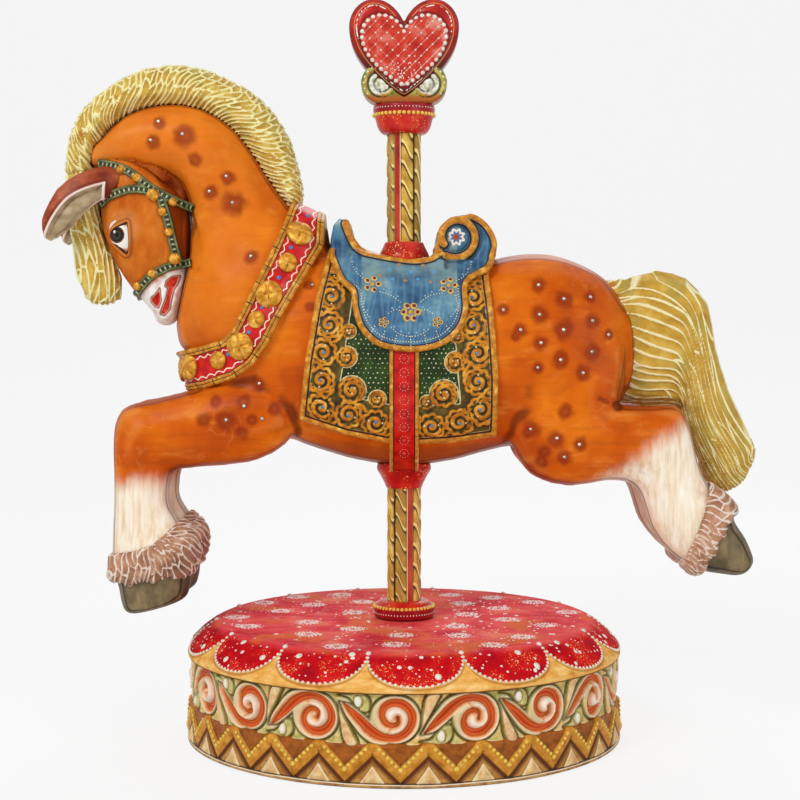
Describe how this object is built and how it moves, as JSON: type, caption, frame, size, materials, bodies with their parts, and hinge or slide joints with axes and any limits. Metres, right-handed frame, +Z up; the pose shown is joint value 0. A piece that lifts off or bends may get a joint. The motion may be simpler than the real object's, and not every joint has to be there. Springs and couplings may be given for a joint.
{
  "type": "carousel music box",
  "caption": "Wind-up music box: a carved, painted carousel horse turns on a rope-twist pole above a round carved base that holds a pinned-cylinder movement.",
  "frame": {"origin": "centre of the felt ring's underside, on the pole's axis", "axes": "+Z up along the pole, the horse faces -X at rest and its left side faces -Y"},
  "size_m": [0.2886, 0.18, 0.2994],
  "materials": {
    "carved_base": "carved, stained and painted, satin varnish",
    "painted_top": "crimson and orange paint with white dots, gloss varnish",
    "felt": "matt wool felt",
    "plain_board": "bare plywood",
    "bright_steel": "ground steel",
    "brass": "turned and lacquered",
    "cast_frame": "die cast, satin",
    "red_turning": "red paint with pale beads, gloss varnish",
    "rope_pole": "gold paint with red stripes, satin varnish",
    "green_scroll": "green paint fading to white, gloss varnish",
    "heart_paint": "deep red paint, gloss varnish",
    "horse_coat": "orange-brown stain over carved wood, gloss varnish",
    "straw_mane": "straw-coloured paint in carved locks, satin varnish",
    "blue_saddle": "blue paint with a gold rim, gloss varnish",
    "green_blanket": "green paint with gold borders, gloss varnish",
    "red_strap": "red paint with gold edges, gloss varnish",
    "bridle_paint": "grey-green paint, satin varnish",
    "gilt_stud": "gilded, slightly worn",
    "steel_stud": "small bright studs"
  },
  "bodies": {
    "base": {"base_plinth": "carved_base", "base_frieze": "carved_base", "base_top": "painted_top", "felt_ring": "felt", "bottom_board": "plain_board", "board_screws": "brass", "spindle_bush": "brass", "movement_bedplate": "cast_frame", "movement_screws": "bright_steel", "comb_block": "cast_frame", "music_comb": "bright_steel", "comb_screws": "brass", "inner_bracket": "cast_frame", "outer_bracket": "cast_frame", "second_cock": "cast_frame", "governor_frame": "cast_frame"},
    "carousel": {"centre_rod": "bright_steel", "great_wheel": "brass", "spring_barrel": "brass", "mainspring": "bright_steel", "thrust_washer": "brass", "base_collar": "red_turning", "lower_pole": "rope_pole", "belly_cup": "red_turning", "saddle_cup": "red_turning", "upper_pole": "rope_pole", "finial_collar": "red_turning", "finial_scrolls": "green_scroll", "heart": "heart_paint", "horse_torso": "horse_coat", "horse_neck": "horse_coat", "horse_head": "horse_coat", "left_ear": "horse_coat", "right_ear": "horse_coat", "mane": "straw_mane", "forelock": "straw_mane", "tail": "straw_mane", "left_foreleg": "horse_coat", "right_foreleg": "horse_coat", "left_hindleg": "horse_coat", "right_hindleg": "horse_coat", "saddle": "blue_saddle", "saddle_cantle": "blue_saddle", "saddle_blanket": "green_blanket", "girth_strap": "red_strap", "breast_collar": "red_strap", "bridle": "bridle_paint", "collar_rosettes": "gilt_stud", "bridle_studs": "gilt_stud", "body_studs": "steel_stud"},
    "key": {"winding_arbor": "bright_steel", "winding_key": "brass"},
    "cylinder": {"music_cylinder": "brass", "cylinder_arbor": "bright_steel", "cylinder_wheel": "brass"},
    "second_wheel": {"second_arbor": "brass"},
    "governor": {"governor_arbor": "bright_steel", "governor_worm": "bright_steel", "governor_fan": "brass"}
  },
  "joints": [
    {"name": "carousel_turn", "type": "hinge", "parent": "base", "child": "carousel", "pos_m": [0, 0, 0], "axis": [0, 0, 1], "continuous": true},
    {"name": "key_wind", "type": "hinge", "parent": "base", "child": "key", "pos_m": [0, 0, 0], "axis": [0, 0, 1], "continuous": true},
    {"name": "cylinder_spin", "type": "hinge", "parent": "base", "child": "cylinder", "pos_m": [0, 0, 0.03157], "axis": [1, 0, 0], "continuous": true},
    {"name": "second_wheel_spin", "type": "hinge", "parent": "base", "child": "second_wheel", "pos_m": [0, -0.01, 0.03157], "axis": [1, 0, 0], "continuous": true},
    {"name": "governor_spin", "type": "hinge", "parent": "base", "child": "governor", "pos_m": [0.0455, -0.0162, 0], "axis": [0, 0, 1], "continuous": true}
  ],
  "couplings": [
    {"joint": "cylinder_spin", "follows": "carousel_turn", "ratio": 3},
    {"joint": "second_wheel_spin", "follows": "carousel_turn", "ratio": -9},
    {"joint": "governor_spin", "follows": "carousel_turn", "ratio": -54}
  ]
}
